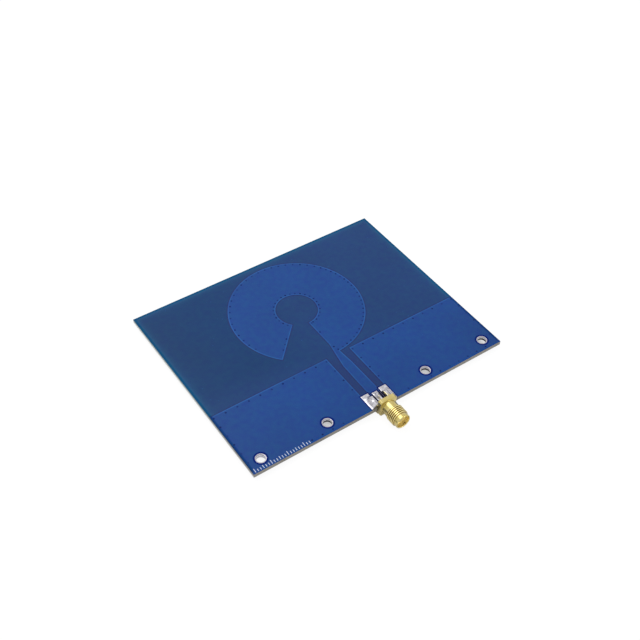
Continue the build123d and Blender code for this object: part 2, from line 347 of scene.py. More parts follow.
def feedReach(tree, x, side, y):
    plan = copperPlan
    ringEnd = ringLow.y
    knee = ringEnd - plan["taper"]
    onRight = calc(tree, "GREATER_THAN", x, 0.0)
    half = calc(tree, "ADD", plan["padHalf"], remap(
        tree, y, plan["padEnd"], plan["shoulder"], 0.0, plan["frontHalf"] - plan["padHalf"]))
    half = minus(tree, half, remap(
        tree, y, plan["shoulder"], knee, 0.0, plan["frontHalf"] - plan["rearHalf"]))
    narrow = remap(
        tree, onRight, 0.0, 1.0, plan["rearHalf"] - plan["ringLeft"], plan["rearHalf"] - plan["ringRight"])
    half = minus(tree, half, remap(tree, y, knee, ringEnd, 0.0, narrow))
    close = remap(tree, onRight, 0.0, 1.0, plan["ringLeft"], 0.0)
    half = minus(tree, half, remap(tree, y, ringEnd, ringEnd + plan["merge"], 0.0, close))
    return most(
        tree,
        minus(tree, side, half),
        minus(tree, groundLow.y, y),
        minus(tree, y, ringEnd + plan["merge"]),
    )


def slabReach(tree, side, y, inner, outer, end):
    return most(
        tree,
        minus(tree, inner, side),
        minus(tree, side, outer),
        minus(tree, groundLow.y, y),
        minus(tree, y, end),
    )


def nearHoles(tree, side, y):
    return least(tree, *(reach(tree, minus(tree, side, abs(place.x)), y) for place in holePlaces[:2]))


def copperReach(tree, x, side, y, top):
    # How far away the copper and the open pads are, below zero inside them
    plan = copperPlan
    ring = ringReach(tree, x, y)
    groundPad = slabReach(tree, side, y, plan["groundPadInner"], plan["groundPadOuter"], plan["groundPadEnd"])
    if not top:
        ground = slabReach(tree, side, y, -1.0, groundHigh.x, groundHigh.y)
        return least(tree, ring, ground), groundPad
    signalPad = slabReach(tree, side, y, -1.0, plan["padHalf"], plan["padEnd"])
    ground = slabReach(tree, side, y, plan["slotHalf"], groundHigh.x, groundHigh.y)
    copper = least(tree, ring, ground, groundPad, feedReach(tree, x, side, y))
    return copper, least(tree, signalPad, groundPad)


def inkLine(tree, away, width, strength, look):
    return remap(tree, calc(tree, "ABSOLUTE", away), 0.0, width * look["lineFade"], strength, 0.0)


def bareInk(tree, x, side, y, edge, look, top):
    # Over bare laminate, with the slot beside the feed line, painted shade towards the left, and the light
    # that enters at the board's edge
    atLeft = least(tree, remap(tree, x, boardLow.x / 2, 0.0, 1.0, 0.0),
                   remap(tree, y, groundHigh.y, ringLow.y + look["leftFade"], 0.0, 1.0))
    colour = blend(tree, atLeft, look["overLaminate"], look["bareLeftShade"])
    if top:
        fade = look["slotFade"]
        inFront = remap(tree, y, groundHigh.y - fade, groundHigh.y + fade / 2, 1.0, 0.0, "SMOOTHSTEP")
        beside = calc(tree, "LESS_THAN", side, copperPlan["slotHalf"])
        colour = blend(tree, times(tree, beside, inFront), colour, look["slot"])
    past = calc(tree, "MAXIMUM", minus(tree, edge, look["glowStart"]), 0.0)
    glow = calc(tree, "EXPONENT", calc(tree, "DIVIDE", past, -look["glowReach"]))
    return blend(tree, glow, colour, look["edgeGlow"])


def coveredInk(tree, place, copper, edge, atRim, look):
    # Over copper, with a worn lighter line just inside its outline, but not along the board's edge
    inside = calc(tree, "ADD", copper, look["lightLine"] / 2)
    line = inkLine(tree, inside, look["lightLine"], look["lightStrength"], look)
    line = times(tree, line, remap(tree, edge, look["lightStart"], look["lightFull"]))
    worn = remap(tree, grain(tree, place, look["wearScale"], 1.0), 0.4, 0.6, look["lightWear"], 1.0)
    colour = blend(tree, times(tree, line, worn), look["overCopper"], look["inkEdge"])
    return blend(tree, times(tree, atRim, look["rimStrength"]), colour, look["coveredRim"])


def gapShadeAndSheen(tree, side, y, colour, look):
    # Painted shade, nearly black, between the pads, with a painted reflection as a pale streak along the
    # middle
    plan = copperPlan
    gapEnd = plan["padEnd"] - look["gapInset"]
    gap = most(
        tree,
        minus(tree, side, plan["groundPadInner"]),
        minus(tree, plan["padHalf"], side),
        minus(tree, y, gapEnd),
    )
    inGap = remap(tree, gap, look["gapFull"], look["gapFade"], 1.0, 0.0)
    colour = blend(tree, inGap, colour, look["betweenPadsShade"])
    away = apart(tree, side, (plan["groundPadInner"] + plan["padHalf"]) / 2)
    sheen = least(
        tree,
        remap(tree, away, look["sheenCore"], look["sheenHalf"], look["sheenStrength"], 0.0),
        remap(tree, y, gapEnd - look["sheenFade"], gapEnd, 1.0, 0.0),
    )
    return blend(tree, sheen, colour, look["gapSheen"])


def unevenLevel(tree, place, fine, x, y, look):
    # Broad clouds and a fine grain in the ink, and painted shade to the front, the left and the right corner
    clouds = vary(tree, grain(tree, place, look["cloudScale"], 2.0), 1 - look["mottle"], 1 + look["mottle"])
    level = calc(tree, "ADD", clouds, vary(tree, fine, -look["fineMottle"], look["fineMottle"]))
    toCorner = reach(tree, minus(tree, x, boardHigh.x), minus(tree, y, boardLow.y))
    shares = (
        remap(tree, y, boardLow.y, ringLow.y, look["frontShade"], 1.0, "SMOOTHSTEP"),
        remap(tree, x, boardLow.x, ringLow.x, look["leftShade"], 1.0),
        remap(tree, toCorner, 0.0, look["cornerReach"], look["cornerShade"], 1.0, "SMOOTHSTEP"),
    )
    for share in shares:
        level = times(tree, level, share)
    return level


def maskMaterial(name, look, top):
    material, tree, shader = startMaterial(name)
    place = millimetres(tree)
    x, y, _ = coordinates(tree, place)
    side = calc(tree, "ABSOLUTE", x)
    copper, pads = copperReach(tree, x, side, y, top)
    edge = least(
        tree,
        minus(tree, boardHigh.x, side),
        minus(tree, y, boardLow.y),
        minus(tree, boardHigh.y, y),
    )

    # Colour of the open film, with a rim along the board's edge and a dark line round the copper, painted
    # shade with the film thicker at the copper's foot
    atRim = remap(tree, edge, look["rimWidth"], look["rimWidth"] + look["rimFade"], 1.0, 0.0)
    colour = blend(tree, atRim, bareInk(tree, x, side, y, edge, look, top), look["rimLine"])
    outside = minus(tree, copper, look["darkLine"] / 2)
    darkLine = inkLine(tree, outside, look["darkLine"], look["darkStrength"], look)
    colour = blend(tree, darkLine, colour, look["shadowEdge"])
    covered = coveredInk(tree, place, copper, edge, atRim, look)
    colour = blend(tree, calc(tree, "GREATER_THAN", copper, 0.0), covered, colour)
    frontRim = boardLow.y + look["frontRimWidth"]
    atFront = remap(tree, y, frontRim, frontRim + look["rimFade"], 1.0, 0.0)
    colour = blend(tree, atFront, colour, look["frontRim"])

    # Dark lips where the film stops at pads and holes; they shine less than the open film
    matt = minus(tree, atRim, remap(tree, y, frontRim, frontRim + look["mattFade"], 1.0, 0.0))
    toHoles = minus(tree, nearHoles(tree, side, y), copperPlan["holeWindow"])
    for away, width in ((pads, look["lipWidth"]), (toHoles, look["holeLip"])):
        atLip = remap(tree, away, width * look["lipFull"], width * look["lipFade"], 1.0, 0.0)
        colour = blend(tree, atLip, colour, look["padLip"])
        matt = most(tree, matt, atLip)
    # painted shade between the pads, with a painted reflection streak
    if top:
        colour = gapShadeAndSheen(tree, side, y, colour, look)

    # Uneven ink with painted shade, and rare pale specks
    fine = grain(tree, place, look["fineScale"], 3.0, 0.6)
    toned = tree.nodes.new("ShaderNodeHueSaturation")
    hues = grain(tree, place, look["hueScale"], 2.0)
    feed(tree, toned.inputs["Hue"], vary(tree, hues, 0.5 - look["hueDrift"], 0.5 + look["hueDrift"]))
    feed(tree, toned.inputs["Color"], colour)
    feed(tree, toned.inputs["Value"], unevenLevel(tree, place, fine, x, y, look))
    specks = remap(tree, grain(tree, place, look["speckScale"], 0.0),
                   look["speckStart"], look["speckFull"], 0.0, look["speckStrength"])
    feed(tree, shader.inputs["Base Color"], blend(tree, specks, toned.outputs[0], look["inkEdge"]))

    # Sheen, and the film's swell over the copper
    feed(tree, shader.inputs["Roughness"], vary(tree, grain(tree, place, 0.25, 3.0), *look["roughness"]))
    feed(tree, shader.inputs["Specular IOR Level"], remap(
        tree, matt, 0.0, 1.0, look["specular"], look["lipSpecular"]))
    swell = remap(tree, copper, look["swellFull"], look["swellEnd"], 1.0, 0.0, "SMOOTHSTEP")
    height = calc(tree, "ADD", swell, times(tree, fine, look["fineShare"]))
    relief(tree, shader, height, *look["relief"])
    return material


viaInkLook = {
    "deep": shade(24, 40, 96),
    "pale": shade(34, 60, 122),
    "scale": 0.6,
    "roughness": (0.3, 0.45),
}
lipInkLook = {
    "deep": shade(0, 24, 104),
    "pale": shade(0, 34, 120),
    "scale": 1.0,
    "roughness": (0.3, 0.45),
}


def darkInkMaterial(name, look):
    material, tree, shader = startMaterial(name)
    place = millimetres(tree)
    pattern = remap(tree, grain(tree, place, look["scale"], 0.0), 0.4, 0.65)
    feed(tree, shader.inputs["Base Color"], blend(tree, pattern, look["deep"], look["pale"]))
    feed(tree, shader.inputs["Roughness"], vary(tree, grain(tree, place, 2.0), *look["roughness"]))
    shader.inputs["Specular IOR Level"].default_value = maskLook["lipSpecular"]
    return material


# Glass-fibre laminate: grey-beige cut edge with the cloth's layers showing

laminateLook = {
    "resin": shade(130, 126, 118),
    "fibre": shade(170, 167, 159),
    "char": shade(98, 93, 86),
    # painted light and shade on the left cut only
    "litSideCut": shade(238, 239, 234),
    "litSideUpper": shade(118, 144, 154),
    "sideNear": shade(186, 184, 180),
    "sideNearUpper": shade(112, 112, 116),
    "sideTurn": 0.85,
    "sideFade": 0.15,
    "sideStrength": 0.85,
    "sideNearReach": 1.5,
    "layerHeight": 0.19,
    "layerWaver": 0.04,
    "strandScale": 2.4,
    "charScale": 0.35,
    "charStrength": 0.55,
    "roughness": 0.7,
    "relief": (0.5, 0.04),
}


def laminateMaterial(look):
    material, tree, shader = startMaterial("glassLaminate")
    place = millimetres(tree)
    x, y, z = coordinates(tree, place)
    waver = vary(tree, grain(tree, place, 0.5, 2.0), -look["layerWaver"], look["layerWaver"])
    height = calc(tree, "ADD", z, waver)
    layer = calc(tree, "PINGPONG", height, look["layerHeight"] / 2)
    layerTone = remap(tree, layer, 0.0, look["layerHeight"] / 2)
    strands = grain(tree, place, look["strandScale"], 2.0, 0.6, (1, 1, 5))
    colour = blend(tree, times(tree, layerTone, strands), look["resin"], look["fibre"])
    burnt = remap(tree, grain(tree, place, look["charScale"], 3.0), 0.5, 0.75, 0.0, look["charStrength"])
    colour = blend(tree, burnt, colour, look["char"])

    # The left cut gets painted light: pale below as lit, tinted above with painted light from the film, and
    # painted shade greyer near the front
    litLeftCut = remap(tree, x, boardLow.x + 0.01, boardLow.x + 0.03, look["sideStrength"], 0.0)
    upper = remap(tree, height, look["sideTurn"] - look["sideFade"], look["sideTurn"] + look["sideFade"])
    near = blend(tree, upper, look["sideNear"], look["sideNearUpper"])
    far = blend(tree, upper, look["litSideCut"], look["litSideUpper"])
    along = remap(tree, y, boardLow.y, groundHigh.y * look["sideNearReach"])
    colour = blend(tree, litLeftCut, colour, blend(tree, along, near, far))
    feed(tree, shader.inputs["Base Color"], colour)
    shader.inputs["Roughness"].default_value = look["roughness"]
    relief(tree, shader, strands, *look["relief"])
    return material


# Metals

goldLook = {
    "plate": shade(204, 187, 122),
    "deep": shade(190, 170, 86),
    # painted highlight on the crests, painted shade in the grooves, painted light in the bore
    "crest": shade(236, 222, 150),
    "groove": shade(136, 102, 18),
    "bore": shade(244, 228, 168),
    "zoneFade": 0.1,
    "grooveShare": 0.7,
    "grooveEnd": 0.06,
    "grooveStrength": 0.95,
    "crestStart": 0.02,
    "crestStrength": 0.9,
    "boreStart": 0.05,
    "tarnishScale": 0.7,
    "turningScale": 9.0,
    "roughness": (0.17, 0.3),
    "coat": 0.7,
    "coatIor": 1.6,
    "coatRoughness": 0.22,
    "relief": (0.15, 0.01),
}
tinLook = {
    "bright": shade(192, 189, 196),
    "dull": shade(168, 165, 172),
    # painted reflection in the barrel, a painted shade line below its rim, and painted shade lower down
    "barrel": shade(250, 249, 255),
    "barrelRimShade": shade(128, 124, 130),
    "shade": shade(10, 12, 34),
    "shadeTop": 0.95,
    "shadeFull": 0.78,
    "shadeStrength": 0.95,
    "outerShade": 0.1,
    "rimLevel": 1.38,
    "rimHalf": 0.03,
    "rimFade": 0.06,
    "rimStrength": 0.6,
    "metallic": 0.7,
    "barrelMetallic": 0.0,
    "scale": 1.2,
    "roughness": (0.24, 0.4),
    "relief": (0.4, 0.02),
}
solderLook = {
    "bright": shade(210, 208, 213),
    "dull": shade(146, 144, 152),
    "metallic": 1.0,
    "scale": 1.0,
    "roughness": (0.16, 0.32),
    "relief": (0.4, 0.014),
}
copperLook = {
    "bright": shade(196, 122, 84),
    "dull": shade(168, 96, 62),
    "tinEdge": 0.3,
    "tinEnd": 0.4,
    "scale": 0.6,
    "roughness": (0.3, 0.5),
}


def barrelTones(tree, place, colour, look, barrel):
    # Painted shade with some tarnish in the thread's grooves, a painted highlight with some wear on its
    # crests, and painted light in the bore
    x, y, z = coordinates(tree, place)
    radius = reach(tree, x, minus(tree, z, barrel["centre"].z))
    crest = barrel["threadRadius"]
    fade = look["zoneFade"]
    inThread = least(tree, remap(tree, y, barrel["threadEnd"] - fade, barrel["threadEnd"]),
                     remap(tree, y, barrel["neckEnd"], barrel["neckEnd"] + fade, 1.0, 0.0))
    root = crest - barrel["threadDepth"] * look["grooveShare"]
    groove = remap(tree, radius, root, crest - look["grooveEnd"], look["grooveStrength"], 0.0)
    colour = blend(tree, times(tree, groove, inThread), colour, look["groove"])
    # painted highlight on the crests, with some wear
    worn = remap(
        tree, radius, crest - look["grooveEnd"], crest - look["crestStart"], 0.0, look["crestStrength"])
    colour = blend(tree, times(tree, worn, inThread), colour, look["crest"])
    bore = barrel["boreRadius"]
    inBore = remap(tree, radius, bore + look["boreStart"], bore + fade, 1.0, 0.0)
    return blend(tree, inBore, colour, look["bore"])


def goldMaterial(name, look, barrel=None):
    material, tree, shader = startMaterial(name)
    place = millimetres(tree)
    tarnish = grain(tree, place, look["tarnishScale"], 3.0)
    colour = blend(tree, remap(tree, tarnish, *patchSpan), look["plate"], look["deep"])
    if barrel:
        colour = barrelTones(tree, place, colour, look, barrel)
    feed(tree, shader.inputs["Base Color"], colour)
    turning = grain(tree, place, look["turningScale"], 2.0, 0.6, (0.12, 1, 0.12))
    feed(tree, shader.inputs["Roughness"], vary(tree, turning, *look["roughness"]))
    shader.inputs["Metallic"].default_value = 1.0
    shader.inputs["Coat Weight"].default_value = look["coat"]
    shader.inputs["Coat IOR"].default_value = look["coatIor"]
    shader.inputs["Coat Roughness"].default_value = look["coatRoughness"]
    relief(tree, shader, turning, *look["relief"])
    return material


def inBarrel(tree, z):
    return least(tree, remap(tree, z, foilTop - 0.2, foilTop - 0.1, 1.0, 0.0),
                 remap(tree, z, foilUnder + 0.02, foilUnder + 0.1))


def barrelShade(tree, x, z, inside, colour, look):
    # Inside a hole: a painted reflection as near-white tin, a painted shade line below the rim, and painted
    # shade lower down but for the outer left hole
    colour = blend(tree, inside, colour, look["barrel"])
    atRim = remap(tree, apart(tree, z, look["rimLevel"]), look["rimHalf"], look["rimFade"],
                  look["rimStrength"], 0.0)
    colour = blend(tree, atRim, colour, look["barrelRimShade"])
    shaded = times(
        tree,
        remap(tree, z, look["shadeTop"], look["shadeFull"], 0.0, look["shadeStrength"], "SMOOTHSTEP"),
        remap(tree, x, holePlaces[0].x, holePlaces[1].x, look["outerShade"], 1.0),
    )
    return blend(tree, times(tree, shaded, inside), colour, look["shade"])


def greyMetalMaterial(name, look):
    material, tree, shader = startMaterial(name)
    place = millimetres(tree)
    patches = grain(tree, place, look["scale"], 3.0, 0.6)
    colour = blend(tree, remap(tree, patches, *patchSpan), look["bright"], look["dull"])
    if "barrel" in look:
        x, _, z = coordinates(tree, place)
        inside = inBarrel(tree, z)
        colour = barrelShade(tree, x, z, inside, colour, look)
        feed(tree, shader.inputs["Metallic"], remap(
            tree, inside, 0.0, 1.0, look["metallic"], look["barrelMetallic"]))
    else:
        shader.inputs["Metallic"].default_value = look["metallic"]
    feed(tree, shader.inputs["Base Color"], colour)
    finer = grain(tree, place, look["scale"] * 2, 2.0)
    feed(tree, shader.inputs["Roughness"], vary(tree, finer, *look["roughness"]))
    relief(tree, shader, patches, *look["relief"])
    return material


def copperMaterial(look):
    material, tree, shader = startMaterial("copperFoil")
    place = millimetres(tree)
    x, y, _ = coordinates(tree, place)
    side = calc(tree, "ABSOLUTE", x)
    pads = slabReach(tree, side, y, -1.0, copperPlan["groundPadOuter"], copperPlan["groundPadEnd"])
    tinned = remap(tree, pads, look["tinEdge"], look["tinEnd"], 1.0, 0.0)  # round the pads it is tinned
    colour = blend(tree, grain(tree, place, look["scale"], 3.0), look["bright"], look["dull"])
    feed(tree, shader.inputs["Base Color"], blend(tree, tinned, colour, solderLook["bright"]))
    feed(tree, shader.inputs["Roughness"], vary(tree, grain(tree, place, 3.0), *look["roughness"]))
    shader.inputs["Metallic"].default_value = 1.0
    return material


# Insulator and printed ink

insulatorLook = {
    "pale": shade(228, 212, 164),
    "deep": shade(210, 190, 136),
    "scale": 1.6,
    "roughness": 0.5,
    "subsurface": 0.15,
    "scatter": (0.0006, 0.0005, 0.0004),
}
printLook = {
    "fresh": shade(214, 222, 240),
    "worn": shade(174, 188, 220),
    "scale": 3.5,
    "roughness": 0.55,
}


def polymerMaterial(look):
    material, tree, shader = startMaterial("ivoryInsulator")
    clouds = grain(tree, millimetres(tree), look["scale"], 3.0)
    feed(tree, shader.inputs["Base Color"], blend(tree, clouds, look["pale"], look["deep"]))
    shader.inputs["Roughness"].default_value = look["roughness"]
    shader.inputs["Subsurface Weight"].default_value = look["subsurface"]
    shader.inputs["Subsurface Radius"].default_value = look["scatter"]
    return material


def printMaterial(look):
    material, tree, shader = startMaterial("whitePrint")
    wear = remap(tree, grain(tree, millimetres(tree), look["scale"], 3.0), *patchSpan)
    feed(tree, shader.inputs["Base Color"], blend(tree, wear, look["fresh"], look["worn"]))
    shader.inputs["Roughness"].default_value = look["roughness"]
    return material


maskTopMaterial = maskMaterial("blueMaskTop", maskLook, True)
maskUnderMaterial = maskMaterial("blueMaskUnderside", maskLook, False)
viaMaterial = darkInkMaterial("viaInk", viaInkLook)
lipMaterial = darkInkMaterial("lipInk", lipInkLook)
glassMaterial = laminateMaterial(laminateLook)
contactMaterial = goldMaterial("contactGold", goldLook)
tinMaterial = greyMetalMaterial("holeTin", tinLook)
solderMaterial = greyMetalMaterial("solder", solderLook)
foilMaterial = copperMaterial(copperLook)
insulatorMaterial = polymerMaterial(insulatorLook)
inkMaterial = printMaterial(printLook)
print("materials made")


# Mesh helpers


weldDistance = 0.0005  # millimetres


def placeMesh(name, bm, material):
    mesh = bpy.data.meshes.new(name)
    bm.to_mesh(mesh)
    bm.free()
    mesh.materials.append(material)
    placed = bpy.data.objects.new(name, mesh)
    bpy.context.scene.collection.objects.link(placed)
    return placed


def newPiece(name, bm, material, replaced=(), crease=35):
    bmesh.ops.remove_doubles(bm, verts=bm.verts, dist=weldDistance)
    bmesh.ops.recalc_face_normals(bm, faces=bm.faces)
    bmesh.ops.scale(bm, vec=(mm, mm, mm), verts=bm.verts)
    piece = placeMesh(name, bm, material)
    piece.data.shade_smooth()
    piece.data.set_sharp_from_angle(angle=radians(crease))
    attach(piece, "root")
    if replaced:
        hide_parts(*replaced)


def chain(bm, points, closed=False):
    verts = [bm.verts.new(point) for point in points]
    pairs = list(zip(verts, verts[1:]))
    if closed:
        pairs.append((verts[-1], verts[0]))
    return verts, [bm.edges.new(pair) for pair in pairs]


def lathe(bm, points, centre, axis, steps, closed=False):
    verts, edges = chain(bm, points, closed)
    bmesh.ops.spin(bm, geom=verts + edges, cent=centre, axis=axis, angle=2 * pi, steps=steps, use_merge=True)


def turnMarks(bm, marks, centre, steps, closed=False):
    points = [centre + Vector((radius, 0, level)) for radius, level in marks]
    lathe(bm, points, centre, zAxis, steps, closed)


def rimsAt(bm, y, slack):
    return [edge for edge in bm.edges
            if edge.is_boundary and all(abs(vert.co.y - y) < slack for vert in edge.verts)]


def easeEdges(bm, edges, width, segments=2):
    bmesh.ops.bevel(bm, geom=edges, offset=width, offset_type="OFFSET", segments=segments, profile=0.5,
                    affect="EDGES", material=-1, clamp_overlap=True)


# The jack: flange, barrel with its cut thread, nose with the mating bore, and four legs

bodyLow, bodyHigh = boxOf("connector_body")
contactLow, contactHigh = boxOf("centre_contact")
jackLook = {
    "flangeThickness": 1.65,
    "cornerCut": 0.55,
    "neckRadius": 2.7,
    "neckLength": 2.75,
    "threadRadius": 3.1,
    "threadLength": 3.6,
    "threadPitch": 0.7056,
    "threadDepth": 0.3,
    "crestFlat": 0.2,
    "rootFlat": 0.16,
    "leadChamfer": 0.22,
    "endSlope": 0.03,
    "noseRadius": 2.75,
    "noseChamfer": 0.2,
    "boreRadius": 2.3,
    "boreDepth": 1.9,
    "boreChamfer": 0.12,
    "seatRadius": 2.05,
    "pinRadius": 0.38,
    "legSize": 1.0,
    "legRoot": 0.4,
    "legEdgeBreak": 0.042,
    "tipCut": 0.2,
    "edgeBreak": 0.07,
    "rimSlack": 0.036,
    "spareTurns": 2,
    "weld": 0.001,
    "cutSlack": 0.0001,
    "steps": 96,
}
jackCentre = Vector((0, 0, (bodyLow.z + bodyHigh.z) / 2))
flangeFront = boardLow.y - jackLook["flangeThickness"]
neckEnd = flangeFront - jackLook["neckLength"]
threadEnd = neckEnd - jackLook["threadLength"]
barrelPlan = {
    "centre": jackCentre,
    "neckEnd": neckEnd,
    "threadEnd": threadEnd,
    "threadRadius": jackLook["threadRadius"],
    "threadDepth": jackLook["threadDepth"],
    "boreRadius": jackLook["boreRadius"],
}
jackMaterial = goldMaterial("jackGold", goldLook, barrelPlan)


def cutThread(bm, look, centre, start, end):
    pitch = look["threadPitch"]
    crest = look["threadRadius"]
    root = crest - look["threadDepth"]
    flank = (pitch - look["crestFlat"] - look["rootFlat"]) / 2
    steps = look["steps"]
    turns = ceil((start - end) / pitch) + look["spareTurns"]
    first = start + pitch
    marks = (
        (first, root),
        (first - look["rootFlat"], root),
        (first - look["rootFlat"] - flank, crest),
        (first - look["rootFlat"] - flank - look["crestFlat"], crest),
        (first - pitch, root),
    )
    points = [Vector((centre.x, along, centre.z + radius)) for along, radius in marks]
    before = set(bm.verts)
    verts, edges = chain(bm, points)
    bmesh.ops.spin(
        bm, geom=verts + edges, cent=centre, axis=-yAxis, dvec=(0, -pitch / steps, 0),
        angle=2 * pi * turns, steps=steps * turns)
    fresh = [vert for vert in bm.verts if vert not in before]
    bmesh.ops.remove_doubles(bm, verts=fresh, dist=look["weld"])
    cuts = (
        (start, 1, True),
        (end, -1, True),
        (start - look["leadChamfer"], 1, False),
        (end + look["leadChamfer"], -1, False),
    )
    for level, away, clear in cuts:
        geom = [vert for vert in bm.verts if vert not in before]
        faces = {face for vert in geom for face in vert.link_faces}
        rims = {edge for vert in geom for edge in vert.link_edges}
        bmesh.ops.bisect_plane(
            bm, geom=geom + list(rims) + list(faces), dist=look["cutSlack"], plane_co=(0, level, 0),
            plane_no=(0, away, 0), clear_outer=clear)
    for vert in bm.verts:
        if vert in before:
            continue
        fromEnd = min(start - vert.co.y, vert.co.y - end)
        limit = crest - max(0.0, look["leadChamfer"] - fromEnd)
        radius = hypot(vert.co.x - centre.x, vert.co.z - centre.z)
        if radius > limit:
            share = limit / radius
            vert.co.x = centre.x + (vert.co.x - centre.x) * share
            vert.co.z = centre.z + (vert.co.z - centre.z) * share


def addFlange(bm, look):
    # A square plate whose corners and rims are cut, left open for the barrel
    turned = Matrix.Rotation(radians(90), 4, "X") @ Matrix.Rotation(radians(45), 4, "Z")
    plate = bmesh.ops.create_circle(
        bm, cap_ends=True, segments=4, radius=bodyHigh.x * 2 ** 0.5,
        matrix=Matrix.Translation((0, flangeFront, jackCentre.z)) @ turned)
    bmesh.ops.bevel(
        bm, geom=plate["verts"], offset=look["cornerCut"], offset_type="OFFSET", segments=1, profile=0.5,
        affect="VERTICES", material=-1)
    pushed = bmesh.ops.extrude_face_region(bm, geom=list(bm.faces))
    moved = [item for item in pushed["geom"] if isinstance(item, bmesh.types.BMVert)]
    bmesh.ops.translate(bm, verts=moved, vec=(0, look["flangeThickness"], 0))
    easeEdges(bm, list(bm.edges), look["edgeBreak"])
    flats = [face for face in bm.faces if abs(face.normal.y) > 0.99]
    bmesh.ops.delete(bm, geom=flats, context="FACES_ONLY")


def addBarrel(bm, look):
    # The neck, then the nose with its bore, spun about the jack's axis, and the thread between them
    def ring(along, radius):
        return Vector((0, along, jackCentre.z + radius))

    rear, front = boardLow.y, bodyLow.y
    shelf = front + look["boreDepth"]
    neck = [ring(flangeFront, look["neckRadius"] + look["edgeBreak"]),
            ring(flangeFront - look["edgeBreak"], look["neckRadius"]),
            ring(neckEnd + look["endSlope"], look["neckRadius"])]
    lathe(bm, neck, jackCentre, yAxis, look["steps"])
    nose = [ring(threadEnd - look["endSlope"], look["noseRadius"]),
            ring(front + look["noseChamfer"], look["noseRadius"]),
            ring(front, look["noseRadius"] - look["noseChamfer"]),
            ring(front, look["boreRadius"] + look["boreChamfer"]),
            ring(front + look["boreChamfer"], look["boreRadius"]),
            ring(shelf, look["boreRadius"]),
            ring(shelf, look["seatRadius"]),
            ring(rear, look["seatRadius"])]
    lathe(bm, nose, jackCentre, yAxis, look["steps"])
    cutThread(bm, look, jackCentre, neckEnd, threadEnd)
    for level in (rear, flangeFront, neckEnd, threadEnd):
        bmesh.ops.bridge_loops(bm, edges=rimsAt(bm, level, look["rimSlack"]))


def addLegs(bm, look):
    # Square bars rooted in the flange, two over the board and two under it, as clear of it as the pin
    rear = boardLow.y
    clear = (contactLow.z + contactHigh.z) / 2 - look["pinRadius"] - boardTop
    legLength = bodyHigh.y - rear
    size = look["legSize"]
    for top in (True, False):
        level = boardTop + clear + size / 2 if top else boardUnder - clear - size / 2
        for hand in (-1, 1):
            before = set(bm.edges)
            middle = Vector((hand * (bodyHigh.x - size / 2), rear + (legLength - look["legRoot"]) / 2, level))
            bmesh.ops.create_cube(bm, size=1, matrix=Matrix.LocRotScale(
                middle, None, Vector((size, legLength + look["legRoot"], size))))
            outward = 1 if top else -1
            tip = [edge for edge in bm.edges if edge not in before and all(
                vert.co.y > middle.y and (vert.co.z - level) * outward > 0 for vert in edge.verts)]
            easeEdges(bm, tip, look["tipCut"], 1)
            sharp = [edge for edge in bm.edges if edge not in before]
            easeEdges(bm, sharp, look["legEdgeBreak"])


def makeJack(look):
    bm = bmesh.new()
    addFlange(bm, look)
    addBarrel(bm, look)
    addLegs(bm, look)
    newPiece("edgeJack", bm, jackMaterial, ["connector_body"])


makeJack(jackLook)
print("jack made")


# Tinned rims: plating of each mounting hole with its land on both faces

rimLook = {
    "bore": 1.5,
    "land": 1.97,
    "wall": 0.05,
    "lip": 0.09,
    "lipInset": 0.027,
    "lipDrop": 0.018,
    "tinRise": 0.016,
    "steps": 64,
}


def makeRim(name, place, node, look):
    bm = bmesh.new()
    bore, land = look["bore"], look["land"]
    high, low = foilTop, foilUnder
    rise = look["tinRise"]
    marks = (
        (bore, low + look["lip"]),
        (bore + look["lipInset"], low + look["lipDrop"]),
        (bore + look["lip"], low - rise),
        (land - look["lip"], low - rise),
        (land, low),
        (bore + look["wall"], low),
        (bore + look["wall"], high),
        (land, high),
        (land - look["lip"], high + rise),
        (bore + look["lip"], high + rise),
        (bore + look["lipInset"], high - look["lipDrop"]),
        (bore, high - look["lip"]),
    )
    turnMarks(bm, marks, Vector((place.x, place.y, 0)), look["steps"], closed=True)
    newPiece(name, bm, tinMaterial, [node])


rimNames = ("outerLeftHoleRim", "innerLeftHoleRim", "innerRightHoleRim", "outerRightHoleRim")
for rimName, rimPlace, rimNode in zip(rimNames, holePlaces, holeNodes):
    makeRim(rimName, rimPlace, rimNode, rimLook)
print("hole rims made")


# Rolled edge of the mask round each hole, on both faces

collarLook = {
    "inner": 1.79,
    "outer": 2.2,
    "crest": 0.006,
    "slope": 0.07,
    "tuck": 0.001,
    "steps": 64,
}


def makeCollars(look):
    bm = bmesh.new()
    for place in holePlaces:
        for face, foil, outward in ((boardTop, foilTop, 1), (boardUnder, foilUnder, -1)):
            marks = (
                (look["inner"], foil),
                (look["inner"] + look["slope"], face + outward * look["crest"]),
                (look["outer"] - look["slope"], face + outward * look["crest"]),
                (look["outer"], face - outward * look["tuck"]),
                (copperPlan["holeWindow"], foil),
            )
            turnMarks(bm, marks, Vector((place.x, place.y, 0)), look["steps"], closed=True)
    newPiece("holeMaskLips", bm, lipMaterial)


makeCollars(collarLook)
print("mask lips made")


# Vias: small dished dimples in the mask over each plug

viaLook = {
    "radius": 0.37,
    "crest": 0.25,
    "rise": 0.012,
    "sink": 0.004,
    "steps": 10,
}


def plugPlaces(node):
    bm = bmesh.new()
    bm.from_mesh(nodes[node].data)
    bmesh.ops.remove_doubles(bm, verts=bm.verts, dist=0.00001)
    places = []
    waiting = set(bm.verts)
    while waiting:
        group = [waiting.pop()]
        for vert in group:
            for edge in vert.link_edges:
                other = edge.other_vert(vert)
                if other in waiting:
                    waiting.remove(other)
                    group.append(other)
        low = Vector((min(vert.co.x for vert in group), min(vert.co.y for vert in group), 0))
        high = Vector((max(vert.co.x for vert in group), max(vert.co.y for vert in group), 0))
        places.append((low + high) / 2 / mm)
    bm.free()
    return places


